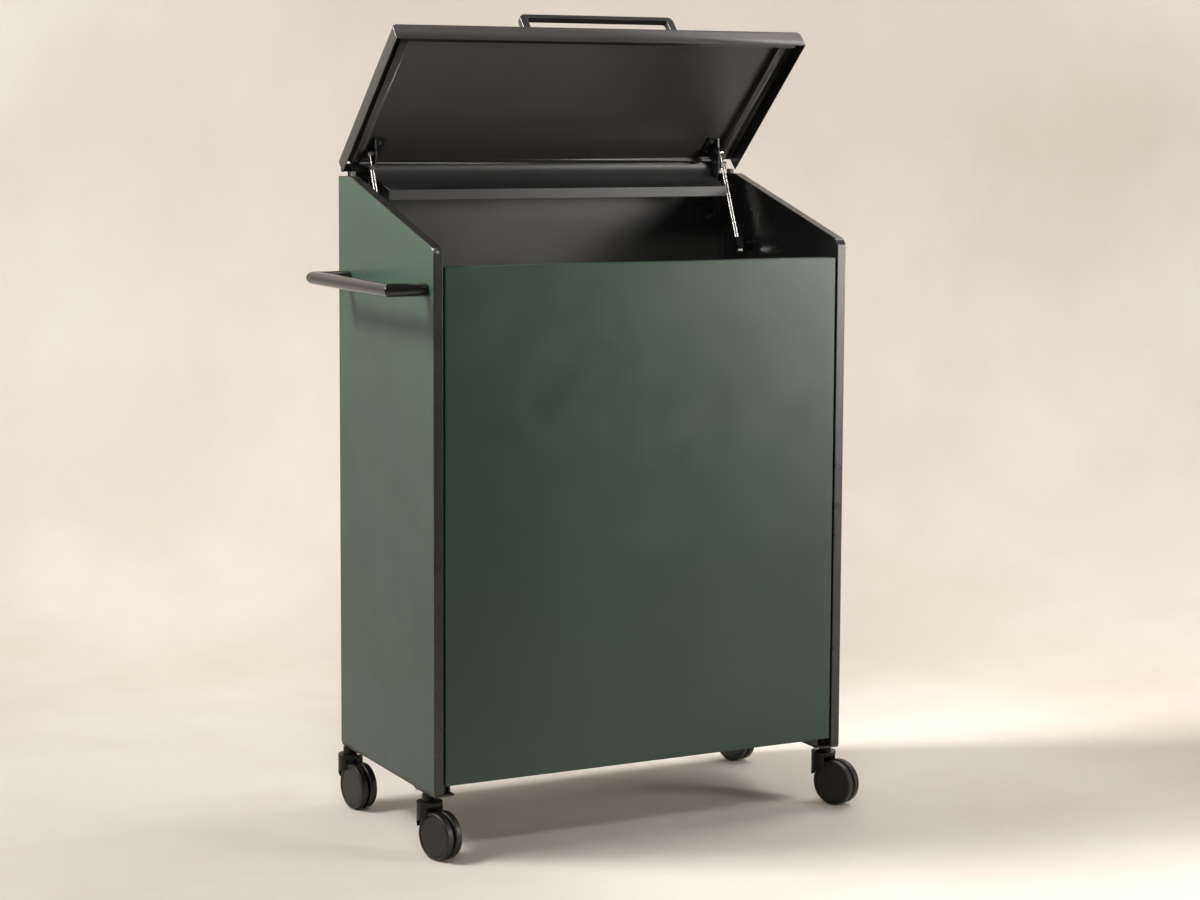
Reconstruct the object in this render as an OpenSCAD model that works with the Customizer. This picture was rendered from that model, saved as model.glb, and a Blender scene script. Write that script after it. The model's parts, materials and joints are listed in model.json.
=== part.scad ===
// Pellet storage bin: a tall box on swivel casters with a sloping lid, drawn with the lid open

/* [Body] */
// Width over both side walls
body_w = 740; // [600:1:900]
// Depth of the side walls, front edge to back edge
body_d = 392; // [360:1:440]
// Height of the side walls at the back, without the casters
body_h = 950; // [800:1:1100]
// Height at which the sloping top edge would meet the front edge
front_h = 849; // [700:1:900]
// Depth of the level part of a side wall's top edge
rear_flat = 53; // [40:1:70]
// Radius of a side wall's top front corner
corner_r = 16; // [8:1:24]
// Thickness of a side wall
wall_t = 16; // [12:1:22]
// Thickness of the green outer skin of a side wall
skin_t = 2; // [1:0.5:3]
// Width of the black rim left round that skin
skin_rim = 1.5; // [1:0.5:4]

/* [Panels] */
// Thickness of the front panel, a folded sheet pan
front_t = 16; // [12:1:22]
// Gap between the front panel and a side wall
front_gap = 3; // [2:0.5:5]
// Height of the front panel's lower edge above the side walls' lower edge
front_foot = 13; // [6:1:20]
// Rounding of the front panel's outer edges
front_edge_r = 2; // [1:0.5:3]
// Thickness of the board that lines the front panel
liner_board_t = 6; // [4:1:10]
// Thickness of folded sheet metal in the body
sheet_t = 1.5; // [1:0.5:2]
// Depth of the folded side flanges of the back sheet
back_flange = 14; // [10:1:20]
// Set-back of the back sheet from the walls' back edges
back_inset = 1; // [0.5:0.5:3]
// Thickness of the floor board
floor_t = 12; // [9:1:18]
// Gap between the open lid's rear return and the fixed top rail
rail_under = 2.5; // [2:0.1:6]
// Depth of the fixed top rail
rail_d = 27; // [20:1:32]
// Height of the front face of the fixed top rail
rail_face = 20; // [14:1:26]
// Gap between a lid arm and the end of the rail
rail_gap = 5; // [4:1:30]
// Height of the back sheet's upper edge above the rail
back_lip = 4; // [2:1:8]
// Height of the folded lip at the front of the rail's shelf
rail_lip = 16; // [8:1:24]

/* [Lid] */
// Length of the lid along its slope
lid_len = 315; // [300:1:330]
// Depth of the lid's skirt, with the top sheet
lid_depth = 30; // [26:1:36]
// Thickness of the lid's folded sheet
lid_sheet = 1.5; // [1:0.5:2]
// Clearance between the lid's skirt and a side wall
lid_side_gap = 0.9; // [0.5:0.1:2]
// Outer radius of the fold between the lid's top and its side skirts
lid_edge_r = 8; // [4:1:10]
// Thickness of the sheet that lines the lid
lid_liner_t = 1.2; // [1:0.1:2]
// Width of the folded lip inside the front skirt
lid_lip = 7; // [5:1:9]
// Depth of the lid's rear return
lid_return = 13; // [9:1:14]
// Angle of the open lid above level
lid_open = 42.8; // [36:0.1:48]
// Distance that the open lid stays in from the back edge
lid_back_in = 24; // [22:1:28]
// Height of the open lid's rear corner above the side walls
lid_rise = 6; // [4:1:10]
// Distance that the closed lid stands in front of the side walls
lid_nose = 2.5; // [2.5:0.5:6]
// Gap between the closed lid's front skirt and the front panel
lid_seam = 2; // [1.5:0.5:4]
// Thickness of the rubber buffers that the closed lid rests on
buffer_t = 2.8; // [2:0.1:4]
// Width of the stiffening strips inside the lid
strip_w = 15; // [12:1:15]
// Thickness of the stiffening strips
strip_t = 10; // [6:1:12]
// Length of the lid's grip, outside to outside
grip_len = 281; // [200:1:340]
// Height of the lid's grip above the lid
grip_h = 34; // [28:1:40]
// Width of the grip along the lid's slope
grip_w = 12; // [10:1:16]
// Thickness of the grip's bar
grip_bar = 8; // [6:1:10]
// Set-back of the grip from the lid's front edge
grip_back = 5; // [3:1:12]

/* [Lid mechanism] */
// Distance from a side wall's outer face to the arm's outboard face
arm_in = 45; // [45:0.5:50]
// Thickness of a lid arm
arm_t = 3; // [2.5:0.5:4]
// Radius of a lid arm's rounded lower end
arm_r = 11; // [9:1:13]
// Radius of a lid arm's rounded top
arm_top_r = 12; // [10:1:13]
// Radius of the pins that the arms turn on
pin_r = 3; // [2.5:0.5:4]
// Distance of the stay's upper pin from the arm's pivot, along the lid
stay_pin_along = 91; // [88:1:94]
// Distance of the stay's upper pin from the arm's pivot, across the lid
stay_pin_up = 69.5; // [66:0.5:71]
// Distance from a side wall's outer face to the middle of the stay
stay_in = 39; // [38.5:0.1:39.4]
// Distance of the stay's guide from the walls' back edges
guide_back = 107; // [100:1:118]
// Distance of the stay's guide below the walls' top
guide_down = 120; // [105:1:150]
// Radius of each of the stay's two rods
rod_r = 1.6; // [1.2:0.1:1.8]
// Distance between the stay's two rods
rod_gap = 4.6; // [4.2:0.1:5]
// Length of the link above the rods' cross block
link_len = 21.5; // [18:0.5:34]

/* [Push handle] */
// Diameter of the handle's round bar
handle_d = 21; // [16:1:25]
// Distance from the wall to the middle of the bar
handle_reach = 62; // [50:1:80]
// Distance from the walls' front edges to the middle of the handle's front leg
handle_y = 28; // [24:1:40]
// Distance from the walls' back edges to the middle of the handle's rear leg
handle_rear = 48; // [36:1:100]
// Distance of the handle below the height at which the walls' front edges end
handle_down = 63; // [54:1:240]

/* [Base and casters] */
// Thickness of the base rail under each side wall
rail_t = 3; // [2:0.5:4]
// Width of the base rail
base_rail_w = 34; // [32:1:44]
// Height of the base rail's inner flange
base_rail_h = 12; // [8:1:12]
// Width of the cross rails under the floor
cross_w = 34; // [26:1:40]
// Radius of the caster wheels
wheel_r = 37.5; // [30:0.5:40]
// Width over both wheels of a caster
wheel_span = 30; // [28:1:36]
// Gap between the two wheels of a caster
wheel_gap = 3.8; // [3:0.2:6]
// Distance from the swivel axis to the wheels' axle
trail = 27; // [22:0.5:30]
// Radius of a caster's hood
hood_r = 20.5; // [20:0.5:23]
// Height of a caster's hood, with its rear skirt
hood_h = 42; // [38:1:46]
// Radius of a caster's neck
neck_r = 12; // [10:0.5:13]
// Height of a caster's neck below its plate
neck_h = 13; // [8:0.5:16]
// Height of the ring on the hood that stands round the neck
ring_h = 2; // [1:0.5:2.5]
// Thickness of a caster's top plate
plate_t = 2; // [1.5:0.5:3]
// Distance from a side wall's outer face to the swivel axis
caster_in = 7.5; // [6:0.5:16]
// Distance from the front edge to the front casters' swivel axis
caster_front = 36; // [30:1:60]
// Distance from the back edge to the rear casters' swivel axis
caster_back = 23; // [22:1:60]
// Height of the wheels above their lowest clearance to the hood
hood_clear = 7; // [3:0.5:8]

/* [Hidden] */

$fn = 64;

// Running clearance of a pin in its hole, and the gap left where pieces seat
run = 0.05;
seat = 0.3;
// Distance by which a cutting shape passes the face that it cuts
past = 1;

// Colours as the object shows them
green = [0.17, 0.25, 0.20];
black = [0.07, 0.07, 0.07];
soft_black = [0.04, 0.04, 0.04];
steel = [0.62, 0.61, 0.60];
dark_steel = [0.30, 0.29, 0.28];

// The swivel angle at which each caster stands, front left, front right, rear left, rear right
turns = [15, 22, 8, 14];

// The sloping top edge
slope = atan((body_h - front_h) / (body_d - rear_flat));

// The caster's heights below the walls' lower edge
neck_top = rail_t + plate_t;
hood_top = neck_top + neck_h - ring_h + seat;
hood_roof = 5;
axle_drop = hood_top + hood_roof + hood_clear + wheel_r;
ride_h = axle_drop + wheel_r;

// The lid's places are worked out in a plane: first number forward, second number up
function along(a) = [cos(a), sin(a)];
function upright(a) = [-sin(a), cos(a)];
lid_over = lid_side_gap + lid_sheet;
seat_drop = lid_depth - lid_sheet - lid_liner_t - buffer_t - seat;
closed_front = [lid_nose, front_h - lid_nose * tan(slope) - seat_drop / cos(slope)];
closed_rear = closed_front - lid_len * along(-slope);
open_rear = [lid_back_in - body_d, body_h + lid_rise];
lid_turn = lid_open + slope;
lid_step = closed_rear - open_rear;
pivot = (closed_rear + open_rear) / 2 + [lid_step[1], -lid_step[0]] / (2 * tan(lid_turn / 2));
pivot_y = -pivot[0];
pivot_z = pivot[1];
// The lid's rear lower corner, seen from the pivot along and across the lid
lid_a = (open_rear - pivot) * along(lid_open);
lid_n = (open_rear - pivot) * upright(lid_open);
lid_top = lid_n + lid_depth;
liner_n = lid_top - lid_sheet - lid_liner_t;
front_top = closed_front[1] - lid_seam;

// The fixed rail's height above the walls and its ends, clear of the lid and of its arms
rail_rise = lid_rise + (lid_depth - lid_return) * cos(lid_open) - rail_under;
rail_end = arm_in + arm_t + rail_gap;

// The push handle's place on the wall
handle_z = front_h - handle_down;
handle_span = body_d - handle_rear - handle_y;

// The stay's upper pin in the open lid, and the line from the guide to it
guide_y = body_d - guide_back;
guide_z = body_h - guide_down;
stay_pin = pivot + stay_pin_along * along(lid_open) + stay_pin_up * upright(lid_open);
stay_line = stay_pin - [-guide_y, guide_z];
stay_len = norm(stay_line);
stay_lean = atan2(stay_line[0], stay_line[1]);

// The object's outline on the floor, for the origin at its middle
tread_r = 3;
wheel_side = wheel_span / 2 - tread_r;
wheel_round = wheel_r - tread_r;
wheel_reach = [for (t = turns) (trail + wheel_round) * sin(t) + wheel_side * cos(t) + tread_r];
side_max = max(body_w + lid_over, body_w - caster_in + wheel_reach[1], body_w - caster_in + wheel_reach[3]);
side_min = -(handle_reach + handle_d / 2);
wheel_front = [for (t = turns) (trail + wheel_round) * cos(t) + wheel_side * sin(t) + tread_r];
depth_min = caster_front - max(wheel_front[0], wheel_front[1]);
mid_x = (side_max + side_min) / 2;
mid_y = (body_d + depth_min) / 2;

// From the body's own corner to the origin on the floor
module place() translate([-mid_x, -mid_y, ride_h]) children();

// A flat shape drawn over depth and height, made thick along the width
module across(w) rotate([90, 0, 90]) linear_extrude(w) children();

// The same shape on the left and, mirrored, on the right
module side(right) {
    if (right) translate([body_w, 0, 0]) mirror([1, 0, 0]) children();
    else children();
}

module rod_x(r, x0, x1) translate([x0, 0, 0]) rotate([0, 90, 0]) cylinder(r = r, h = x1 - x0);

module box(a, b) translate(a) cube(b - a);

// A box whose four edges along one direction are round
module round_bar(size, r) {
    linear_extrude(size[2]) union() {
        translate([r, 0]) square([size[0] - 2 * r, size[1]]);
        translate([0, r]) square([size[0], size[1] - 2 * r]);
        for (x = [r, size[0] - r], y = [r, size[1] - r]) translate([x, y]) circle(r);
    }
}

// A side wall's outline, drawn in from its edges by a rim
module wall_outline(rim, w) {
    lean = rim * tan(slope / 2);
    drop = rim / cos(slope);
    y0 = rim;
    y1 = body_d - rim;
    corner_z = front_h - drop + rim * tan(slope);
    r = corner_r - rim;
    half = (90 + slope) / 2;
    reach = r / tan(half);
    difference() {
        across(w) polygon([[y0, rim], [y1, rim], [y1, body_h - rim],
                           [body_d - rear_flat + lean, body_h - rim], [y0, corner_z]]);
        difference() {
            translate([-past, 0, 0]) across(w + 2 * past)
                polygon([[y0 - past, corner_z - reach], [y0 + r, corner_z - reach],
                         [y0 + reach * cos(slope), corner_z + reach * sin(slope)],
                         [y0 + reach * cos(slope), corner_z + r], [y0 - past, corner_z + r]]);
            translate([0, y0 + r, corner_z - reach]) rod_x(r, -2 * past, w + 2 * past);
        }
    }
}

module wall_core(right) color(black) place() side(right) difference() {
    wall_outline(0, wall_t);
    translate([-past, 0, 0]) wall_outline(skin_rim, skin_t + past);
    if (!right) for (y = [handle_y, handle_y + handle_span]) translate([0, y, handle_z]) {
        rod_x(bolt_r + run, -past, wall_t + past);
    }
}

module wall_skin(right) color(green) place() side(right) difference() {
    wall_outline(skin_rim + run, skin_t);
    if (!right) for (y = [handle_y, handle_y + handle_span]) translate([0, y, handle_z]) {
        rod_x(bolt_r + run, -past, skin_t + past);
    }
}

// The front panel, a pan that is open at the back, with its outer edges round
front_w = body_w - 2 * wall_t - 2 * front_gap;
front_height = front_top - front_foot;

module front_form(t, r, back) {
    intersection() {
        translate([t, t, t]) round_bar([front_w - 2 * t, 2 * back, front_height - 2 * t], r);
        translate([0, t, t]) rotate([90, 0, 90])
            round_bar([2 * back, front_height - 2 * t, front_w], r);
        cube([front_w, back, front_height]);
    }
}

module front_panel() color(green) place() translate([wall_t + front_gap, 0, front_foot]) difference() {
    front_form(0, front_edge_r, front_t);
    box([sheet_t, sheet_t, sheet_t],
        [front_w - sheet_t, front_t + past, front_height - sheet_t]);
}

// The board inside the pan, with cleats that reach the side walls
module front_liner() color(soft_black) place() {
    y1 = front_t;
    box([wall_t + front_gap + sheet_t + seat, y1 - liner_board_t, front_foot + sheet_t + seat],
        [body_w - wall_t - front_gap - sheet_t - seat, y1, front_top - sheet_t - seat]);
    for (x = [wall_t, body_w - wall_t - cleat_w])
        box([x, y1, seat], [x + cleat_w, y1 + cleat_w, front_top - cleat_up]);
}
cleat_w = 10;
cleat_up = 60;

// The back sheet with its side flanges folded forward against the walls
back_y = body_d - back_inset;
module back_sheet() color(black) place() {
    box([wall_t, back_y - sheet_t, floor_z], [body_w - wall_t, back_y, body_h]);
    for (x = [wall_t, body_w - wall_t - sheet_t])
        box([x, back_y - back_flange, floor_z], [x + sheet_t, back_y, pivot_z - arm_r - bracket_up]);
    // The upstand behind the open lid, which reaches out over the walls with some room below it
    top = body_h + rail_rise + back_lip;
    box([wall_t, back_y - sheet_t, body_h - past], [body_w - wall_t, back_y, top]);
    box([wing_in, back_y - sheet_t, body_h + wing_up], [body_w - wing_in, back_y, top]);
}
wing_in = 4;
wing_up = 7;

// The floor board rests on the cross rails, between the back sheet's flanges and round the cleats
floor_z = base_rail_h;
module floor_board() color(soft_black) place() difference() {
    box([wall_t + sheet_t + seat, front_t + seat, floor_z],
        [body_w - wall_t - sheet_t - seat, back_y - sheet_t, floor_z + floor_t]);
    for (x = [wall_t, body_w - wall_t - cleat_w - seat])
        box([x, front_t, floor_z - past], [x + cleat_w + seat, front_t + cleat_w + seat, floor_z + floor_t + past]);
}

// The fixed rail behind the lid: a folded sheet with a face, a sloping shelf and a lip
shelf_rear = [back_y - sheet_t - rail_d, body_h + rail_rise - rail_face];
shelf_clear = 2;
shelf_d = shelf_rear[0] + closed_rear[0] - shelf_clear;
shelf_front = shelf_rear - shelf_d * [1, tan(slope)];
module top_rail() color(black) place() translate([rail_end, 0, 0]) {
    w = body_w - 2 * rail_end;
    top = body_h + rail_rise;
    t = sheet_t;
    across(w) polygon([
        [back_y - t, top - t], [back_y - t, top], [shelf_rear[0], top],
        [shelf_rear[0], shelf_rear[1] + t], [shelf_front[0], shelf_front[1] + t],
        [shelf_front[0], shelf_front[1] - rail_lip], [shelf_front[0] + t, shelf_front[1] - rail_lip],
        [shelf_front[0] + t, shelf_front[1]], [shelf_rear[0] + t, shelf_rear[1]],
        [shelf_rear[0] + t, top - t]]);
    for (x = [0, w - t]) translate([x, 0, 0]) across(t) polygon([
        [shelf_rear[0] + t, top - t], [shelf_rear[0] + t, shelf_rear[1] - rail_lip],
        [back_y - t, shelf_rear[1] - rail_lip], [back_y - t, top - t]]);
}

// The base rail under a side wall, an angle whose upright leg carries the cross rails
module base_rail(right) color(dark_steel) place() side(right) {
    box([rail_side, rail_side, -rail_t], [base_rail_w, body_d - rail_side, 0]);
    box([base_rail_w - rail_t, front_t + seat, -past], [base_rail_w, back_y - back_flange, base_rail_h - seat]);
}
rail_side = 1;

// A cross rail, a channel that is open below
module cross_rail(y) color(dark_steel) place() difference() {
    box([base_rail_w + seat, y - cross_w / 2, 0],
        [body_w - base_rail_w - seat, y + cross_w / 2, base_rail_h]);
    box([base_rail_w, y - cross_w / 2 + rail_t, -past],
        [body_w - base_rail_w, y + cross_w / 2 - rail_t, base_rail_h - rail_t]);
}

// The push handle: a bar and two legs that meet in mitred corners
module push_handle() color(black) place() translate([0, handle_y, handle_z]) difference() {
    r = handle_d / 2;
    union() {
        handle_bar(r, 0, handle_span);
        for (y = [0, handle_span]) {
            translate([0, y, 0]) rod_x(r, -handle_reach, 0);
            // Where two equal round bars cross, their common part is the mitred corner
            intersection() {
                translate([0, y, 0]) rod_x(r, -handle_reach - r, -handle_reach + r);
                handle_bar(r, y - r, y + r);
            }
        }
    }
    for (y = [0, handle_span]) translate([0, y, 0]) rod_x(bolt_r + run, -bolt_in, past);
}

module handle_bar(r, y0, y1) translate([-handle_reach, y0, 0]) rotate([-90, 0, 0]) cylinder(r = r, h = y1 - y0);

// The bolts that hold the handle from inside the wall
bolt_r = 3;
bolt_in = 20;
bolt_head_r = 6;
bolt_head_t = 3;
module handle_bolts() color(steel) place() for (y = [handle_y, handle_y + handle_span])
    translate([0, y, handle_z]) {
        rod_x(bolt_r, -bolt_in + past, wall_t + past);
        difference() {
            rod_x(bolt_head_r, wall_t, wall_t + bolt_head_t);
            translate([wall_t + bolt_head_t / 2, 0, 0]) rotate([0, 90, 0]) cylinder(r = bolt_r, h = bolt_head_t, $fn = 6);
        }
    }

// The hinge bracket on the back sheet: a web and two ears that hold the arm's pin
ear_t = 2.5;
ear_gap = 0.5;
bracket_up = 18;
arm_clear = 2;
module hinge_bracket(right) color(black) place() side(right) {
    x0 = arm_in - ear_gap - ear_t;
    x1 = arm_in + arm_t + ear_gap + ear_t;
    web_y = back_y - sheet_t;
    difference() {
        box([x0 - bracket_up, web_y - ear_t, pivot_z - bracket_up],
            [x1 + bracket_up, web_y, pivot_z + bracket_up]);
        // Room for the arm's round end where the pivot lies close to the web
        translate([0, pivot_y, pivot_z]) rod_x(arm_r + arm_clear, x0 + ear_t, x1 - ear_t);
    }
    for (x = [x0, x1 - ear_t]) difference() {
        union() {
            translate([0, pivot_y, pivot_z]) rod_x(arm_r, x, x + ear_t);
            box([x, pivot_y, pivot_z - arm_r], [x + ear_t, web_y - ear_t / 2, pivot_z + arm_r]);
        }
        translate([0, pivot_y, pivot_z]) rod_x(pin_r + run, x - past, x + ear_t + past);
    }
}

module hinge_pins() color(steel) place() for (right = [false, true]) side(right)
    translate([0, pivot_y, pivot_z]) {
        x0 = arm_in - ear_gap - ear_t - past;
        x1 = arm_in + arm_t + ear_gap + ear_t + past;
        rod_x(pin_r, x0, x1);
        rod_x(pin_r + past, x1, x1 + pin_head);
    }
pin_head = 1.5;

// The bush on each wall that the stay's guide turns in
journal_r = 4;
bush_len = 11;
bush_r = 8;
bush_flange_r = 12;
module guide_bushes() color(soft_black) place() for (right = [false, true]) side(right)
    translate([0, guide_y, guide_z]) difference() {
        union() {
            rod_x(bush_flange_r, wall_t, wall_t + ear_t);
            rod_x(bush_r, wall_t, wall_t + bush_len);
        }
        rod_x(journal_r + run, wall_t + past, wall_t + bush_len + past);
    }

// The guide: a block with a journal, drilled for the two rods
guide_w = 12;
guide_d = 13;
guide_h = 20;
module stay_guide(right) color(soft_black) place() side(right)
    translate([stay_in, guide_y, guide_z]) rotate([stay_lean, 0, 0]) difference() {
        union() {
            translate([-guide_w / 2, -guide_d / 2, -guide_h / 2]) cube([guide_w, guide_d, guide_h]);
            rod_x(journal_r, wall_t + past + seat - stay_in, -guide_w / 2);
        }
        for (s = [-1, 1]) translate([s * rod_gap / 2, 0, -guide_h]) cylinder(r = rod_r + run, h = 2 * guide_h);
    }
// The stay: an eye, a link, a cross block and two rods with a keeper at their ends
eye_r = 5;
link_r = 2.2;
block_w = 9;
block_d = 7;
block_h = 7.5;
keeper_h = 5;
// The keeper below the guide is what stops the open lid
rod_tail = guide_h / 2 + seat;
module stay_rods(right) color(steel) place() side(right)
    translate([stay_in, guide_y, guide_z]) rotate([stay_lean, 0, 0]) {
        block_top = stay_len - link_len;
        translate([0, 0, stay_len]) rod_x(eye_r, -block_w / 2, block_w / 2);
        translate([0, 0, block_top - past]) cylinder(r = link_r, h = link_len - eye_r / 2);
        translate([-block_w / 2, -block_d / 2, block_top - block_h]) cube([block_w, block_d, block_h]);
        for (s = [-1, 1]) translate([s * rod_gap / 2, 0, -rod_tail - keeper_h / 2])
            cylinder(r = rod_r, h = block_top - block_h / 2 + rod_tail + keeper_h / 2);
        translate([-block_w / 2, -block_d / 2, -rod_tail - keeper_h]) cube([block_w, block_d, keeper_h]);
    }

// From the lid's own flat lie about its pivot to its open place
module lid_place() place() translate([0, pivot_y, pivot_z]) rotate([-lid_open, 0, 0]) children();

// A box in the lid, given from a to a along it, and from n to n across it
module lid_box(x, a, n) box([x[0], -a[1], n[0]], [x[1], -a[0], n[1]]);

// The cross section of the lid, with its two upper edges round
module lid_section(x0, x1, n0, n1, r, len) rotate([90, 0, 0]) linear_extrude(len) union() {
    translate([x0, n0]) square([x1 - x0, n1 - n0 - r]);
    translate([x0 + r, n0]) square([x1 - x0 - 2 * r, n1 - n0]);
    for (x = [x0 + r, x1 - r]) translate([x, n1 - r]) circle(r);
}

module lid_shell() color(black) lid_place() {
    x0 = -lid_over;
    x1 = body_w + lid_over;
    t = lid_sheet;
    inner = strip_in - seat;
    difference() {
        translate([0, -lid_a, 0]) lid_section(x0, x1, lid_n, lid_top, lid_edge_r, lid_len);
        translate([0, -lid_a - t, 0]) lid_section(x0 + t, x1 - t, lid_n - past, lid_top - t, lid_edge_r - t,
                                                  lid_len - 2 * t);
        // The rear end is open over the walls and over the fixed rail
        for (x = [[x0 + t, inner], [body_w - inner, x1 - t]])
            lid_box(x, [lid_a - past, lid_a + t + past], [lid_n - past, wall_clear_n]);
        lid_box([tab_end, body_w - tab_end], [lid_a - past, lid_a + t + past],
                [lid_n - past, lid_top - lid_return]);
    }
    lid_box([strip_in, body_w - strip_in], [lid_a + lid_len - lid_lip, lid_a + lid_len - t / 2],
            [lid_n, lid_n + t]);
}
strip_in = wall_t + 1;
tab_end = arm_in - 4;
wall_clear_n = liner_n - buffer_t;

module lid_liner() color(black) lid_place()
    lid_box([liner_in, body_w - liner_in], [lid_a + lid_sheet + seat, lid_a + lid_len - lid_sheet - seat],
            [liner_n, liner_n + lid_liner_t]);
liner_in = lid_edge_r;

// A stiffening strip with its rear end round
module lid_strip(right) color(black) lid_place() side(right) {
    a0 = lid_a + strip_back + strip_w / 2;
    a1 = lid_a + lid_len - lid_lip - strip_front;
    lid_box([strip_in, strip_in + strip_w], [a0, a1], [liner_n - strip_t, liner_n]);
    translate([strip_in + strip_w / 2, -a0, liner_n - strip_t]) cylinder(r = strip_w / 2, h = strip_t);
}
strip_back = 2;
strip_front = 2;

// The grip: a flat bar bent square with round corners
grip_r = 10;
module lid_grip() color(black) lid_place()
    translate([body_w / 2 - grip_len / 2, -(lid_a + lid_len - grip_back - grip_w), lid_top])
        rotate([90, 0, 0]) linear_extrude(grip_w) difference() {
            union() {
                square([grip_len, grip_h - grip_r]);
                translate([grip_r, 0]) square([grip_len - 2 * grip_r, grip_h]);
                for (x = [grip_r, grip_len - grip_r]) translate([x, grip_h - grip_r]) circle(grip_r);
            }
            translate([grip_leg, -past]) square([grip_len - 2 * grip_leg, grip_h - grip_bar - grip_in_r + past]);
            translate([grip_leg + grip_in_r, -past])
                square([grip_len - 2 * grip_leg - 2 * grip_in_r, grip_h - grip_bar + past]);
            for (x = [grip_leg + grip_in_r, grip_len - grip_leg - grip_in_r])
                translate([x, grip_h - grip_bar - grip_in_r]) circle(grip_in_r);
        }
grip_leg = 13;
grip_in_r = 4;

// A lid arm: a plate from the pivot to the lid, with a folded foot under the liner
foot_w = 20;
foot_half = 24;
module lid_arm(right) color(black) lid_place() side(right) {
    foot_n = liner_n - arm_t;
    difference() {
        union() {
            rod_x(arm_r, arm_in, arm_in + arm_t);
            translate([0, -stay_pin_along, stay_pin_up]) rod_x(arm_top_r, arm_in, arm_in + arm_t);
            across_arm();
        }
        rod_x(pin_r + run, arm_in - past, arm_in + arm_t + past);
        translate([0, -stay_pin_along, stay_pin_up]) rod_x(stud_r + run, arm_in - past, arm_in + arm_t + past);
        rivet_place() rod_x(rivet_r + run, arm_in - past, arm_in + arm_t + past);
    }
    lid_box([arm_in, arm_in + foot_w], [stay_pin_along - foot_half, stay_pin_along + foot_half], [foot_n, liner_n]);
}
stud_r = 4;

// A rivet in the arm, on the line from its stud to its pivot
rivet_r = 2.5;
rivet_down = 18;
module rivet_place() {
    left = 1 - rivet_down / norm([stay_pin_along, stay_pin_up]);
    translate(left * [0, -stay_pin_along, stay_pin_up]) children();
}

// The arm's straight sides, between its two round ends, and its neck up to the foot
module across_arm() {
    reach = norm([stay_pin_along, stay_pin_up]);
    lean = atan2(stay_pin_up, stay_pin_along);
    taper = asin((arm_top_r - arm_r) / reach);
    low = [for (s = [-1, 1]) arm_r * [cos(lean + s * (90 + taper)), sin(lean + s * (90 + taper))]];
    high = [for (s = [-1, 1]) [stay_pin_along, stay_pin_up]
            + arm_top_r * [cos(lean + s * (90 + taper)), sin(lean + s * (90 + taper))]];
    translate([arm_in, 0, 0]) across(arm_t)
        polygon([for (p = [low[0], high[0], high[1], low[1]]) [-p[0], p[1]]]);
    translate([arm_in, 0, 0]) across(arm_t)
        polygon([[-stay_pin_along - arm_top_r, stay_pin_up], [-stay_pin_along + arm_top_r, stay_pin_up],
                 [-stay_pin_along + foot_half, liner_n - arm_t / 2], [-stay_pin_along - foot_half, liner_n - arm_t / 2]]);
}

// The stud through each arm at the stay's eye, which ends just short of the eye, and the rivet
module lid_arm_studs() color(steel) lid_place() for (right = [false, true]) side(right) {
    translate([0, -stay_pin_along, stay_pin_up]) {
        rod_x(stud_r, stay_in + block_w / 2 + 2 * seat, arm_in + arm_t + past);
        rod_x(stud_r + past, arm_in + arm_t, arm_in + arm_t + pin_head);
    }
    rivet_place() {
        rod_x(rivet_r, arm_in, arm_in + arm_t + past);
        rod_x(rivet_r + past, arm_in + arm_t, arm_in + arm_t + pin_head);
    }
}

// Screws in the lid: the strips' rear ends and the arms' feet
screw_r = 3;
screw_h = 1.6;
module lid_screws() color(steel) lid_place() for (right = [false, true]) side(right) {
    translate([strip_in + strip_w / 2, -(lid_a + strip_back + strip_w / 2), liner_n - strip_t])
        rotate([180, 0, 0]) cylinder(r = screw_r, h = screw_h);
    for (s = [-1, 1])
        translate([arm_in + arm_t + (foot_w - arm_t) / 2, -(stay_pin_along + s * foot_half / 2), liner_n - arm_t])
            rotate([180, 0, 0]) cylinder(r = screw_r, h = screw_h);
}

// Rubber buffers under the liner, over the side walls' sloping edges
buffer_r = 4;
module lid_buffers() color(soft_black) lid_place() for (right = [false, true]) side(right)
    for (a = [lid_a + buffer_end, lid_a + lid_len - buffer_end])
        translate([wall_t / 2 + liner_in / 4, -a, liner_n - buffer_t]) cylinder(r = buffer_r, h = buffer_t);
buffer_end = 45;

// The rubber block on each wall's level top, beside the open lid's rear corner
stop_in = 9;
stop_w = 7;
stop_d = 14;
stop_h = 8;
module lid_stops() color(soft_black) place() for (right = [false, true]) side(right)
    box([stop_in, -open_rear[0] - stop_d, body_h], [stop_in + stop_w, -open_rear[0], body_h + stop_h]);

// Screws in the body: the back sheet's edges and the hinge brackets
module body_screws() color(steel) place() {
    for (right = [false, true]) side(right) {
        for (i = [0 : back_screws - 1])
            translate([wall_t + back_screw_in, back_y,
                       floor_z + back_screw_in + i * (body_h - floor_z - 2 * back_screw_in) / (back_screws - 1)])
                rotate([-90, 0, 0]) cylinder(r = screw_r, h = back_screw_t);
    }
}
back_screws = 6;
back_screw_in = 8;
back_screw_t = 0.9;

// Screws that hold the casters' plates: two at the long end and one at the short end
module caster_screws() color(steel) place() for (c = [0 : 3]) side(c % 2 == 1)
    for (at = [[plate_screw_out, plate_screw_far], [plate_screw_in, plate_screw_far],
               [plate_screw_in, -plate_screw_near]])
        translate([at[0], caster_y(c) + inward(c) * at[1], -neck_top - plate_screw_h])
            cylinder(r = plate_screw_r, h = plate_screw_h);
plate_screw_r = 5;
plate_screw_h = 3.2;
plate_screw_out = 7;
plate_screw_in = 30;
plate_screw_far = 42;
plate_screw_near = 13;

// The casters stand at the corners: front left, front right, rear left, rear right
function caster_y(c) = c < 2 ? caster_front : body_d - caster_back;
function caster_x(c) = c % 2 == 0 ? caster_in : body_w - caster_in;
function inward(c) = c < 2 ? 1 : -1;

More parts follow.
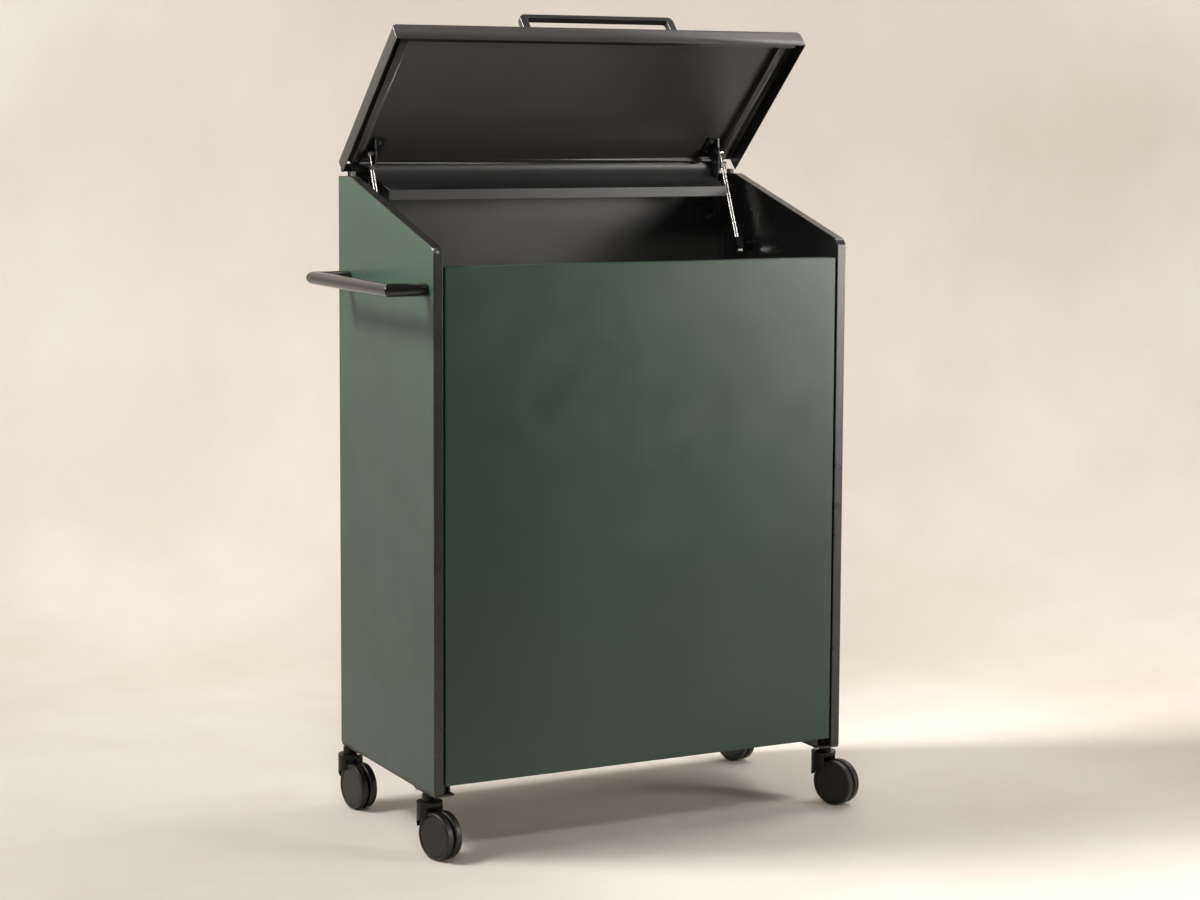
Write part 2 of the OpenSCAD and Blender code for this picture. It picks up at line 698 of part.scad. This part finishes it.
module caster_at(c, z) place() translate([caster_x(c), caster_y(c), -z]) children();

// The fixed neck: a plate under the base rail and a short drum with the swivel's bore
stem_r = 5;
stem_up = 9;
plate_w = 35;
plate_far = 48;
plate_near = 20;
module caster_neck(c) color(soft_black) place() side(c % 2 == 1)
    translate([0, caster_y(c), 0]) difference() {
        union() {
            mirror([0, c < 2 ? 0 : 1, 0])
                box([rail_side, -plate_near, -neck_top], [rail_side + plate_w, plate_far, -rail_t]);
            translate([caster_in, 0, -neck_top - neck_h]) cylinder(r = neck_r, h = neck_h);
        }
        translate([caster_in, 0, -neck_top - neck_h - past])
            cylinder(r = stem_r + run, h = stem_up + past + seat);
    }

// The hood: a round cap with its stem, cut out over the wheels, with a web that holds the axle
web_t = 3;
hood_wall = 2;
axle_r = 3;
boss_r = 9;
module caster_hood(c) color(soft_black) caster_at(c, hood_top) rotate([0, 0, turns[c]]) {
    axle_z = -(axle_drop - hood_top);
    difference() {
        union() {
            difference() {
                translate([0, 0, -hood_h]) cylinder(r = hood_r, h = hood_h);
                // The lower front is open and the skirt rises towards it
                translate([0, 0, -hood_h]) hood_cut();
                // Room for the two wheels
                translate([0, -trail, axle_z])
                    rod_x(wheel_r + hood_clear, -wheel_span / 2 - past, wheel_span / 2 + past);
            }
            // The web between the wheels
            difference() {
                union() {
                    translate([0, -trail, axle_z]) rod_x(boss_r, -web_t / 2, web_t / 2);
                    translate([-web_t / 2, 0, 0]) across(web_t) polygon([
                        [hood_r * 0.7, -hood_roof / 2], [hood_r * 0.7, -hood_h],
                        [-trail + boss_r * 0.7, axle_z - boss_r * 0.7],
                        [-trail - boss_r * 0.7, axle_z + boss_r * 0.7],
                        [-hood_r * 0.7, -hood_roof / 2]]);
                }
            }
        }
        translate([0, -trail, axle_z]) rod_x(axle_r + run, -wheel_span, wheel_span);
        // The neck stands in a ring on the hood's top
        translate([0, 0, -ring_h]) cylinder(r = neck_r + ring_gap, h = ring_h + past);
    }
    translate([0, 0, -ring_h - past]) cylinder(r = stem_r, h = stem_up + past);
}
ring_gap = 1.2;

// What is taken off the hood's lower edge, so that the skirt is longest at the back
skirt_rise = 20;
skirt_mid = 12;
module hood_cut() translate([-hood_r - past, 0, 0]) across(2 * hood_r + 2 * past)
    polygon([[-hood_r - past, -past], [hood_r, -past], [hood_r * 0.85, 0], [hood_r * 0.45, skirt_mid],
             [-hood_r - past, skirt_rise]]);

module caster_axle(c) color(steel) caster_at(c, axle_drop) rotate([0, 0, turns[c]])
    translate([0, -trail, 0]) rod_x(axle_r, -wheel_span / 2 + disc_in, wheel_span / 2 - disc_in);
disc_in = 4;

// The twin wheels: round treads, a recessed face and a plain disc in each
rim_t = 2.2;
disc_back = 0.8;
module caster_wheels(c) color(soft_black) caster_at(c, axle_drop) rotate([0, 0, turns[c]])
    translate([0, -trail, 0]) for (s = [-1, 1]) scale_side(s) one_wheel();

module scale_side(s) {
    if (s < 0) mirror([1, 0, 0]) children();
    else children();
}

// One wheel, turned about its axle, drawn from the inner face to the outer face
module one_wheel() {
    x0 = wheel_gap / 2;
    x1 = wheel_span / 2;
    rotate([0, 90, 0]) rotate_extrude() difference() {
        union() {
            translate([axle_r + run, x0]) square([wheel_r - tread_r - axle_r - run, x1 - x0]);
            translate([wheel_r - 2 * tread_r, x0 + tread_r]) square([2 * tread_r, x1 - x0 - 2 * tread_r]);
            for (x = [x0 + tread_r, x1 - tread_r]) translate([wheel_r - tread_r, x]) circle(tread_r);
        }
        // A shallow recess in the outer face and a fine groove round the disc
        translate([0, x1 - disc_back]) square([wheel_r - tread_r - rim_t, disc_back + past]);
        translate([wheel_r - tread_r - rim_t - groove_w, x1 - disc_back - groove_w])
            square([groove_w, 2 * groove_w]);
        // The hub's bore is blind, closed by the disc on the outer face
        translate([0, x0 - past]) square([axle_r + run, x1 - disc_in - x0 + past + seat]);
    }
    translate([x1 - disc_in + seat, 0, 0]) rod_x(axle_r + 2 * run, 0, disc_in - seat - disc_back);
}
groove_w = 0.8;

wall_core(false);  // wall_core_left
wall_core(true);  // wall_core_right
wall_skin(false);  // wall_skin_left
wall_skin(true);  // wall_skin_right
front_panel();
front_liner();
back_sheet();
floor_board();
top_rail();
base_rail(false);  // base_rail_left
base_rail(true);  // base_rail_right
cross_rail(caster_front + cross_w);  // cross_rail_front
cross_rail(body_d - caster_back - cross_w / 2);  // cross_rail_rear
push_handle();
handle_bolts();
hinge_bracket(false);  // hinge_bracket_left
hinge_bracket(true);  // hinge_bracket_right
hinge_pins();
guide_bushes();
lid_stops();
body_screws();
caster_screws();
stay_guide(false);  // stay_guide_left
stay_guide(true);  // stay_guide_right
stay_rods(false);  // stay_rods_left
stay_rods(true);  // stay_rods_right
lid_shell();
lid_liner();
lid_strip(false);  // lid_strip_left
lid_strip(true);  // lid_strip_right
lid_grip();
lid_arm(false);  // lid_arm_left
lid_arm(true);  // lid_arm_right
lid_arm_studs();
lid_screws();
lid_buffers();
caster_neck(0);  // caster_neck_fl
caster_hood(0);  // caster_hood_fl
caster_axle(0);  // caster_axle_fl
caster_wheels(0);  // caster_wheels_fl
caster_neck(1);  // caster_neck_fr
caster_hood(1);  // caster_hood_fr
caster_axle(1);  // caster_axle_fr
caster_wheels(1);  // caster_wheels_fr
caster_neck(2);  // caster_neck_rl
caster_hood(2);  // caster_hood_rl
caster_axle(2);  // caster_axle_rl
caster_wheels(2);  // caster_wheels_rl
caster_neck(3);  // caster_neck_rr
caster_hood(3);  // caster_hood_rr
caster_axle(3);  // caster_axle_rr
caster_wheels(3);  // caster_wheels_rr
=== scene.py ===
import bmesh
import bpy
import json
import math
from mathutils import Matrix, Vector

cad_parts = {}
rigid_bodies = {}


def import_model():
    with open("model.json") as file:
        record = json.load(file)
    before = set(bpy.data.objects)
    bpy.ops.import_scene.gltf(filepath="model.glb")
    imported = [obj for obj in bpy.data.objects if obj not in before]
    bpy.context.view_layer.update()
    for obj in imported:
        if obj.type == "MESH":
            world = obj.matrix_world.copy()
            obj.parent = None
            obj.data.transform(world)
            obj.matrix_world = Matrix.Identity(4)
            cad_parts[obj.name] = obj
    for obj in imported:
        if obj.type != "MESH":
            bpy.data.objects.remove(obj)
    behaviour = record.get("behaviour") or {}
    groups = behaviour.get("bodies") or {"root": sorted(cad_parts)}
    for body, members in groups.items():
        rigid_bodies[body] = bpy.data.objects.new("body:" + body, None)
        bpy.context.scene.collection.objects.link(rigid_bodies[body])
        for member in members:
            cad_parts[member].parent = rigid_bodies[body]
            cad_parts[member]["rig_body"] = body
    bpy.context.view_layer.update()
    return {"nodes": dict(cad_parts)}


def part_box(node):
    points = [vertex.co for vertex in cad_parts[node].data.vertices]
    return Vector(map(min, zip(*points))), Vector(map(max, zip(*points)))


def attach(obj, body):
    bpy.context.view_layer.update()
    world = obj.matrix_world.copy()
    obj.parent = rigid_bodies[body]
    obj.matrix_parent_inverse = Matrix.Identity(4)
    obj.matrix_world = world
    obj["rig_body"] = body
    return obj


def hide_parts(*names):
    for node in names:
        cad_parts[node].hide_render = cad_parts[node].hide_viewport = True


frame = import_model()
nodes = frame["nodes"]
scene = bpy.context.scene

# Lengths are in metres, apart from the lens and the sensor of the camera, and colours are linear

# Parts of a material

SEED_SHIFT = (1.0, 0.7, 1.3)  # how far one unit of seed moves a pattern along each axis

# Heights of surface texture
ORANGE_PEEL = 0.00004
FINE_GRAIN = 0.00002
WOOD_FIBRE = 0.00004
MOULDED_GRAIN = 0.00005
UNEVEN_FLOOR = 0.004


def add_node(tree, kind, values=None):
    """A new shader node, with the inputs that values names set."""
    node = tree.nodes.new("ShaderNode" + kind)
    for key, value in (values or {}).items():
        node.inputs[key].default_value = value
    return node


def new_material(name, colour, rough, metallic=0.0, specular=0.5):
    """A plain material, with its node tree and its shader."""
    mat = bpy.data.materials.new(name)
    mat.use_nodes = True
    shader = mat.node_tree.nodes["Principled BSDF"]
    shader.inputs["Base Color"].default_value = (*colour, 1.0)
    shader.inputs["Roughness"].default_value = rough
    shader.inputs["Metallic"].default_value = metallic
    shader.inputs["Specular IOR Level"].default_value = specular
    return mat, mat.node_tree, shader


def noise(tree, scale, detail=4.0, rough=0.6, fineness=(1, 1, 1), seed=0.0):
    """A cloudy pattern fixed to the piece: about scale clouds in a metre, times fineness on each axis."""
    coordinates = add_node(tree, "TexCoord")
    shift = tuple(seed * share for share in SEED_SHIFT)
    mapping = add_node(tree, "Mapping", {"Scale": fineness, "Location": shift})
    tree.links.new(coordinates.outputs["Object"], mapping.inputs["Vector"])
    texture = add_node(tree, "TexNoise", {"Scale": scale, "Detail": detail, "Roughness": rough})
    tree.links.new(mapping.outputs["Vector"], texture.inputs["Vector"])
    return texture.outputs["Fac"]


def shade(colour, share):
    """The colour made darker or lighter."""
    return tuple(channel * share for channel in colour)


def colour_from(tree, pattern, shader, stops):
    """Makes the colour follow a pattern; stops holds (pattern value, colour)."""
    ramp = add_node(tree, "ValToRGB")
    elements = ramp.color_ramp.elements
    while len(elements) < len(stops):
        elements.new(0.5)
    for element, (value, colour) in zip(elements, stops):
        element.position = value
        element.color = (*colour, 1.0)
    tree.links.new(pattern, ramp.inputs["Fac"])
    tree.links.new(ramp.outputs["Color"], shader.inputs["Base Color"])


def roughness_from(tree, pattern, shader, low, high):
    """Makes the roughness follow a pattern, whose values lie mostly between 0.3 and 0.7."""
    limits = {"From Min": 0.3, "From Max": 0.7, "To Min": low, "To Max": high}
    spread = add_node(tree, "MapRange", limits)
    tree.links.new(pattern, spread.inputs["Value"])
    tree.links.new(spread.outputs["Result"], shader.inputs["Roughness"])


def bump_from(tree, shader, layers):
    """Bumps, each on top of the last; layers holds (pattern, strength, height)."""
    last = None
    for pattern, strength, height in layers:
        bump = add_node(tree, "Bump", {"Strength": strength, "Distance": height})
        tree.links.new(pattern, bump.inputs["Height"])
        if last is not None:
            tree.links.new(last, bump.inputs["Normal"])
        last = bump.outputs["Normal"]
    tree.links.new(last, shader.inputs["Normal"])


def mix_shaders(tree, share, first, second):
    """The first shader where share is 0 and the second where it is 1."""
    mixed = add_node(tree, "MixShader")
    tree.links.new(share, mixed.inputs["Fac"])
    tree.links.new(first.outputs[0], mixed.inputs[1])
    tree.links.new(second.outputs[0], mixed.inputs[2])
    return mixed


# Kinds of material


def powder_coat(name, colour, rough, variation=0.12, peel=0.25, seed=0.0, specular=0.5):
    """A satin powder coat: slightly cloudy colour, uneven gloss, orange peel and a fine grain."""
    mat, tree, shader = new_material(name, colour, rough, specular=specular)
    clouds = noise(tree, 3.1, detail=5.0, seed=seed)
    dark = shade(colour, 1 - variation)
    light = shade(colour, 1 + variation)
    colour_from(tree, clouds, shader, [(0.32, dark), (0.5, colour), (0.68, light)])
    gloss = noise(tree, 14.0, seed=seed + 3)
    roughness_from(tree, gloss, shader, low=rough - 0.035, high=rough + 0.035)
    dimples = noise(tree, 900.0, detail=2.0, rough=0.5, seed=seed + 5)
    grain = noise(tree, 2600.0, detail=1.0, rough=0.5, seed=seed + 9)
    bump_from(tree, shader, [(dimples, peel, ORANGE_PEEL), (grain, peel * 0.6, FINE_GRAIN)])
    return mat


def plastic(name, colour, rough, grain=0.3, scale=1500.0, seed=0.0, specular=0.5):
    """A moulded plastic or rubber: mottled, with a fine grain whose scale is given."""
    mat, tree, shader = new_material(name, colour, rough, specular=specular)
    mottle = noise(tree, 40.0, seed=seed)
    colour_from(tree, mottle, shader, [(0.35, shade(colour, 0.85)), (0.65, shade(colour, 1.18))])
    gloss = noise(tree, 120.0, seed=seed + 2)
    roughness_from(tree, gloss, shader, low=rough - 0.05, high=rough + 0.05)
    pits = noise(tree, scale, detail=2.0, seed=seed + 4)
    bump_from(tree, shader, [(pits, grain, MOULDED_GRAIN)])
    return mat


def metal(name, colour, rough, fineness, relief, seed):
    """Bare metal with fine drawn lines, long on the axes where fineness is small."""
    mat, tree, shader = new_material(name, colour, rough, metallic=1.0)
    lines = noise(tree, 400.0, detail=3.0, fineness=fineness, seed=seed)
    colour_from(tree, lines, shader, [(0.3, shade(colour, 0.86)), (0.7, colour)])
    roughness_from(tree, lines, shader, low=rough - 0.04, high=rough + 0.08)
    bump_from(tree, shader, [(lines, relief, FINE_GRAIN)])
    return mat


def board(name, colour, rough, seed=0.0, specular=0.5):
    """A lacquered board: upright fibres under a satin film."""
    mat, tree, shader = new_material(name, colour, rough, specular=specular)
    fibres = noise(tree, 220.0, detail=5.0, rough=0.65, fineness=(1, 1, 0.15), seed=seed)
    colour_from(tree, fibres, shader, [(0.3, shade(colour, 0.88)), (0.7, shade(colour, 1.12))])
    gloss = noise(tree, 30.0, seed=seed + 1)
    roughness_from(tree, gloss, shader, low=rough - 0.05, high=rough + 0.05)
    film = noise(tree, 1600.0, detail=2.0, seed=seed + 6)
    bump_from(tree, shader, [(fibres, 0.06, WOOD_FIBRE), (film, 0.12, FINE_GRAIN)])
    return mat


# Materials of the object

SIDE_GREEN = (0.0245, 0.0500, 0.0345)
# The front's green is the side's green made darker: painted shade, a shaded copy of the one green coat
FRONT_GREEN_PAINTED_SHADE = (0.0165, 0.0410, 0.0256)
COAT_BLACK = (0.0170, 0.0164, 0.0160)
HANDLE_BLACK = (0.0070, 0.0068, 0.0066)
# The lid liner's dark grey, made lighter by painted light that stands in for light thrown up at it from
# below
LID_INNER_GREY_PAINTED_LIGHT = (0.037, 0.034, 0.0305)
EDGE_BLACK = (0.0100, 0.0098, 0.0098)
LINER_BLACK = (0.014, 0.0135, 0.013)
RAIL_BLACK = (0.015, 0.015, 0.0155)
CASTER_BLACK = (0.0046, 0.0040, 0.0037)
WHEEL_BLACK = (0.0078, 0.0069, 0.0064)
STRIP_GREY = (0.055, 0.051, 0.047)
RUBBER_GREY = (0.13, 0.125, 0.12)
RUBBER_BLACK = (0.02, 0.02, 0.02)
STEEL_GREY = (0.52, 0.505, 0.48)
ZINC_GREY = (0.45, 0.44, 0.42)

green_side = powder_coat("green_side_coat", SIDE_GREEN, 0.36, variation=0.10, peel=0.22, seed=1.0)
# The front panel's coat carries painted shade: a darker copy of the side coat
green_front_painted_shade = powder_coat("green_front_painted_shade_coat", FRONT_GREEN_PAINTED_SHADE, 0.33, peel=0.22, seed=4.0)
black_coat = powder_coat("black_coat", COAT_BLACK, 0.34, variation=0.15, seed=7.0)
handle_coat = powder_coat("handle_coat", HANDLE_BLACK, 0.12, variation=0.15, peel=0.04, seed=8.0)
# The lid liner's coat is partly its own dark grey and partly painted light from below
lid_inner_painted_light = powder_coat("lid_inner_painted_light_coat", LID_INNER_GREY_PAINTED_LIGHT, 0.40, variation=0.14, peel=0.3, seed=9.0)
edge_lacquer = board("edge_lacquer", EDGE_BLACK, 0.30, seed=2.0, specular=0.6)
liner_face = board("liner_face", LINER_BLACK, 0.5, seed=6.0)
rail_coat = powder_coat("rail_coat", RAIL_BLACK, 0.38, variation=0.15, peel=0.3, seed=12.0)
caster_plastic = plastic("caster_plastic", CASTER_BLACK, 0.44, 0.25, 1400.0, seed=3.0, specular=0.3)
strip_plastic = plastic("strip_plastic", STRIP_GREY, 0.34, 0.06, 1800.0, seed=5.0)
grey_rubber = plastic("grey_rubber", RUBBER_GREY, 0.7, 0.4, 900.0, seed=8.0)
black_rubber = plastic("black_rubber", RUBBER_BLACK, 0.7, 0.4, 900.0, seed=8.5)
wheel_plastic = plastic("wheel_plastic", WHEEL_BLACK, 0.42, 0.3, 1300.0, seed=11.0)
bright_steel = metal("bright_steel", STEEL_GREY, 0.24, fineness=(1, 1, 0.1), relief=0.015, seed=1.0)
zinc_steel = metal("zinc_steel", ZINC_GREY, 0.34, fineness=(8, 1, 1), relief=0.15, seed=2.0)

# Each node takes the look of the longest of these names that its own name starts with
LOOKS = {
    "wall_core": edge_lacquer,
    "wall_skin": green_side,
    "front_panel": green_front_painted_shade,
    "front_liner": liner_face,
    "back_sheet": black_coat,
    "floor_board": liner_face,
    "top_rail": rail_coat,
    "base_rail": rail_coat,
    "cross_rail": rail_coat,
    "push_handle": handle_coat,
    "handle_bolts": zinc_steel,
    "hinge_bracket": rail_coat,
    "hinge_pins": zinc_steel,
    "guide_bushes": caster_plastic,
    "body_screws": zinc_steel,
    "stay_guide": caster_plastic,
    "stay_rods": bright_steel,
    "lid_shell": black_coat,
    "lid_liner": lid_inner_painted_light,
    "lid_strip": strip_plastic,
    "lid_grip": black_coat,
    "lid_arm": rail_coat,
    "lid_arm_studs": bright_steel,
    "lid_screws": zinc_steel,
    "lid_buffers": black_rubber,
    "lid_stops": grey_rubber,
    "caster_neck": caster_plastic,
    "caster_hood": caster_plastic,
    "caster_axle": zinc_steel,
    "caster_wheels": wheel_plastic,
    "caster_screws": zinc_steel,
}
for name, obj in nodes.items():
    fitting = [start for start in LOOKS if name.startswith(start)]
    if not fitting:
        raise ValueError("no look for " + name)
    obj.data.materials.clear()
    obj.data.materials.append(LOOKS[max(fitting, key=len)])

# Edges rounded as the real ones are

SAME_POINT = 0.000002
FLAT_ANGLE = math.radians(0.4)
SHARP_ANGLE = math.radians(28.0)
SIDEWAYS = 0.5  # a face whose normal has less than this along x doesn't look sideways
BROAD_FACE = 0.0004  # square metres
ROUNDING_STEPS = 3


def looks_inward(face, centre):
    """Whether a face that doesn't look sideways turns to its piece's middle, seen from the side."""
    if abs(face.normal.x) >= SIDEWAYS:
        return False
    away = face.calc_center_median() - centre
    away.x = 0.0
    return face.normal.dot(away) < 0


def edge_weight(edge, centre, narrow_share, round_corner):
    """How much of the wide rounding an edge gets: all, narrow_share, or nothing."""
    faces = edge.link_faces
    if len(faces) != 2 or edge.calc_face_angle(0.0) <= SHARP_ANGLE or not edge.is_convex:
        return 0.0
    areas = [face.calc_area() for face in faces]
    middle = (edge.verts[0].co + edge.verts[1].co) / 2
    at_corner = False
    if round_corner is not None:
        at_corner = middle.y < round_corner.y and middle.z > round_corner.z
    smaller, larger = sorted(areas)
    broad = smaller > BROAD_FACE or (at_corner and larger > BROAD_FACE)
    inward = any(looks_inward(face, centre) for face in faces)
    return 1.0 if broad and not inward else narrow_share


def soften(name, wide, narrow=0.0, round_corner=None, clamp=True):
    """Shows a CAD node by a copy with rounded edges: wide between two broad faces, narrow elsewhere.

    round_corner is a point behind and below a round corner, whose short facets are rounded wide too.
    clamp keeps the roundings of a piece from growing into each other, which makes them all smaller.
    """
    source = nodes[name]
    shape = bmesh.new()
    shape.from_mesh(source.data)
    bmesh.ops.remove_doubles(shape, verts=shape.verts, dist=SAME_POINT)
    bmesh.ops.dissolve_limit(shape, angle_limit=FLAT_ANGLE, verts=shape.verts, edges=shape.edges)
    mesh = bpy.data.meshes.new(name + "_soft")
    shape.to_mesh(mesh)
    if "custom_normal" in mesh.attributes:
        mesh.attributes.remove(mesh.attributes["custom_normal"])
    centre = sum((vertex.co for vertex in shape.verts), Vector()) / len(shape.verts)
    weights = [edge_weight(edge, centre, narrow / wide, round_corner) for edge in shape.edges]
    shape.free()
    layer = mesh.attributes.new("bevel_weight_edge", "FLOAT", "EDGE")
    layer.data.foreach_set("value", weights)
    mesh.polygons.foreach_set("use_smooth", [True] * len(mesh.polygons))
    mesh.materials.clear()
    mesh.materials.append(source.data.materials[0])
    piece = bpy.data.objects.new(name + "_soft", mesh)
    scene.collection.objects.link(piece)
    rounding = piece.modifiers.new("rounding", "BEVEL")
    rounding.limit_method = "WEIGHT"
    rounding.width = wide
    rounding.segments = ROUNDING_STEPS
    rounding.profile = 0.5
    rounding.use_clamp_overlap = clamp
    rounding.harden_normals = True
    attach(piece, source["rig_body"])
    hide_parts(name)


# Only the walls' round corners lie higher than the front panel and no further back than it
panel_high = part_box("front_panel")[1]

for side in ("left", "right"):
    soften("wall_core_" + side, wide=0.0013, round_corner=panel_high, clamp=False)
    soften("lid_strip_" + side, wide=0.0008, clamp=False)
soften("lid_shell", wide=0.0007, clamp=False)
soften("lid_grip", wide=0.0012, narrow=0.0012)
soften("top_rail", wide=0.0012, narrow=0.0004)
soften("lid_stops", wide=0.0012, narrow=0.0012)
soften("push_handle", wide=0.0035, narrow=0.0035)
for corner in ("fl", "fr", "rl", "rr"):
    soften("caster_wheels_" + corner, wide=0.0007, narrow=0.0007)
    soften("caster_hood_" + corner, wide=0.0007, narrow=0.0007)
    soften("caster_neck_" + corner, wide=0.0004, narrow=0.0004)

# Camera, which was fitted to the straight edges in the photograph

CAMERA_PLACE = (-1.91004, -3.769122, 1.165352)
CAMERA_YAW = math.radians(27.232)
CAMERA_PITCH = math.radians(-5.573)
CAMERA_ROLL = math.radians(0.2755)
# Level directions ahead of the camera and to its right
AHEAD = Vector((math.sin(CAMERA_YAW), math.cos(CAMERA_YAW), 0.0))
ACROSS = Vector((math.cos(CAMERA_YAW), -math.sin(CAMERA_YAW), 0.0))

level_share = math.cos(CAMERA_PITCH)
forward = Vector((
    math.sin(CAMERA_YAW) * level_share,
    math.cos(CAMERA_YAW) * level_share,
    math.sin(CAMERA_PITCH),
))
above = ACROSS.cross(forward)
rolled_right = math.cos(CAMERA_ROLL) * ACROSS + math.sin(CAMERA_ROLL) * above
rolled_up = -math.sin(CAMERA_ROLL) * ACROSS + math.cos(CAMERA_ROLL) * above
turn = Matrix((rolled_right, rolled_up, -forward)).transposed().to_4x4()

camera_data = bpy.data.cameras.new("camera")
camera_data.sensor_fit = "HORIZONTAL"
camera_data.sensor_width = 36.0
camera_data.lens = 77.225
camera_data.shift_y = -0.075
camera_data.clip_end = 60.0
camera = bpy.data.objects.new("camera", camera_data)
camera.matrix_world = Matrix.Translation(CAMERA_PLACE) @ turn
scene.collection.objects.link(camera)
scene.camera = camera
scene.view_settings.view_transform = "Standard"

# Floor and backdrop, one sweep that stands square to the camera

FLOOR_STEPS = (-9.0, -4.0, -1.5, 0.0)  # places along the floor, ahead of the origin
BEND_START = 0.9
BEND_RADIUS = 1.1
BEND_ANGLES = range(6, 91, 6)
WALL_HEIGHTS = (1.6, 2.2, 3.0, 4.2, 5.5)
COLUMN_WIDTH = 0.75
COLUMNS = range(-12, 13)
PLASTER_DARK = (0.76, 0.695, 0.62)
PLASTER = (0.81, 0.75, 0.68)
PLASTER_LIGHT = (0.86, 0.81, 0.745)


def clear_from_behind(tree, shader):
    """Lets the camera look through a backdrop where it stands behind it."""
    geometry = add_node(tree, "NewGeometry")
    light_path = add_node(tree, "LightPath")
    both = add_node(tree, "Math")
    both.operation = "MULTIPLY"
    tree.links.new(geometry.outputs["Backfacing"], both.inputs[0])
    tree.links.new(light_path.outputs["Is Camera Ray"], both.inputs[1])
    clear = add_node(tree, "BsdfTransparent")
    either = mix_shaders(tree, both.outputs[0], shader, clear)
    tree.links.new(either.outputs[0], tree.nodes["Material Output"].inputs["Surface"])


def plaster(name):
    """Painted plaster and poured floor: soft clouds, uneven gloss and a slightly wavy surface."""
    mat, tree, shader = new_material(name, PLASTER, 0.6, specular=0.3)
    clouds = noise(tree, 1.3, detail=6.0, rough=0.58, fineness=(1, 1, 0.7), seed=2.0)
    colour_from(tree, clouds, shader, [(0.36, PLASTER_DARK), (0.5, PLASTER), (0.66, PLASTER_LIGHT)])
    gloss = noise(tree, 2.5, seed=6.0)
    roughness_from(tree, gloss, shader, low=0.48, high=0.7)
    waves = noise(tree, 9.0, detail=6.0, rough=0.65, seed=8.0)
    bump_from(tree, shader, [(waves, 0.25, UNEVEN_FLOOR)])
    clear_from_behind(tree, shader)
    return mat


def sweep_profile():
    """Distance ahead of the origin and height of each row of the sweep."""
    rows = [(ahead, 0.0) for ahead in (*FLOOR_STEPS, BEND_START)]
    for degrees in BEND_ANGLES:
        angle = math.radians(degrees)
        ahead = BEND_START + BEND_RADIUS * math.sin(angle)
        rows.append((ahead, BEND_RADIUS - BEND_RADIUS * math.cos(angle)))
    rows += [(BEND_START + BEND_RADIUS, height) for height in WALL_HEIGHTS]
    return rows


def build_sweep():
    """The floor that runs up into a wall."""
    rows = sweep_profile()
    count = len(COLUMNS)
    points = []
    for ahead, height in rows:
        for column in COLUMNS:
            level = AHEAD * ahead + ACROSS * (column * COLUMN_WIDTH)
            points.append(level + Vector((0, 0, height)))
    faces = []
    for row in range(len(rows) - 1):
        for column in range(count - 1):
            start = row * count + column
            faces.append((start, start + 1, start + count + 1, start + count))
    mesh = bpy.data.meshes.new("studio_sweep")
    mesh.from_pydata(points, [], faces)
    mesh.polygons.foreach_set("use_smooth", [True] * len(faces))
    mesh.materials.append(plaster("studio_sweep"))
    mesh.update()
    sweep = bpy.data.objects.new("studio_sweep", mesh)
    scene.collection.objects.link(sweep)


build_sweep()

# World, which is dim, but pale where the camera sees past the sweep

AMBIENT = {"Color": (1.0, 0.90, 0.80, 1), "Strength": 0.035}
MIRRORED = {"Color": (1.0, 0.98, 0.96, 1), "Strength": 0.12}
PAST_SWEEP = {"Color": (0.74, 0.68, 0.61, 1), "Strength": 1.0}


def build_world():
    """A world that lights the object a little and shows in its glossy coats."""
    world = bpy.data.worlds.new("studio")
    scene.world = world
    world.use_nodes = True
    tree = world.node_tree
    tree.nodes.clear()
    path = add_node(tree, "LightPath")
    ambient = add_node(tree, "Background", AMBIENT)
    mirrored = add_node(tree, "Background", MIRRORED)
    seen = add_node(tree, "Background", PAST_SWEEP)
    light = mix_shaders(tree, path.outputs["Is Glossy Ray"], ambient, mirrored)
    whole = mix_shaders(tree, path.outputs["Is Camera Ray"], light, seen)
    output = add_node(tree, "OutputWorld")
    tree.links.new(whole.outputs[0], output.inputs["Surface"])


build_world()

# Lamps

WARM_WHITE = (1.0, 0.97, 0.93)
NEUTRAL_WHITE = (1.0, 0.985, 0.97)
COOL_WHITE = (1.0, 1.0, 0.99)


def lamp(name, place, aim, size, watts, spread=180, colour=WARM_WHITE):
    """A rectangular lamp at place that points at aim; spread is in degrees."""
    data = bpy.data.lights.new(name, "AREA")
    data.shape = "RECTANGLE"
    data.size, data.size_y = size
    data.energy = watts
    data.color = colour
    data.spread = math.radians(spread)
    obj = bpy.data.objects.new(name, data)
    obj.location = place
    obj.rotation_euler = (Vector(aim) - Vector(place)).to_track_quat("-Z", "Y").to_euler()
    scene.collection.objects.link(obj)
    return obj


# Name, place, aim, size and watts: first the backdrop's, then those on the object and the floor
lamp("wash", (-2.6, 1.0, 3.4), (0.6, 2.4, 1.2), (1.6, 1.0), 96, colour=COOL_WHITE)
lamp("wash_right", (2.4, 0.2, 3.2), (2.6, 2.4, 1.0), (1.6, 1.0), 52, colour=NEUTRAL_WHITE)
lamp("left_fill", (-2.4, 0.2, 2.4), (0.0, 0.1, 0.8), (1.0, 1.0), 9)
lamp("right_fill", (2.49, -2.55, 1.25), (0.1, 0.0, 0.75), (1.0, 1.0), 11)
lamp("right_high", (2.6, -1.6, 2.9), (0.1, 0.0, 0.75), (1.2, 1.2), 6)
lamp("right_spot", (2.49, -2.55, 1.45), (0.42, -0.2, 1.1), (0.9, 0.9), 5.0, spread=50)
lamp("right_low", (2.6, -2.4, 0.75), (0.55, -0.2, 0.62), (0.6, 0.8), 1.7, spread=34)
lamp("left_spot", (-1.9, 0.7, 2.6), (-0.35, -0.05, 1.45), (0.8, 0.8), 14, spread=42)
lamp("front_spot", (-0.9, -1.7, 2.6), (0.0, -0.2, 1.3), (0.8, 0.5), 4, spread=60)
lamp("floor_fill", (-3.0, -0.2, 2.6), (-1.2, -1.25, 0.0), (1.0, 1.0), 9, spread=52)
# What the pale floor and the open lid throw back into the bin
bounce = lamp("bounce", (0.0, 0.0, 0.86), (0.0, 0.05, 1.3), (0.6, 0.26), 0.3)
bounce.visible_camera = False
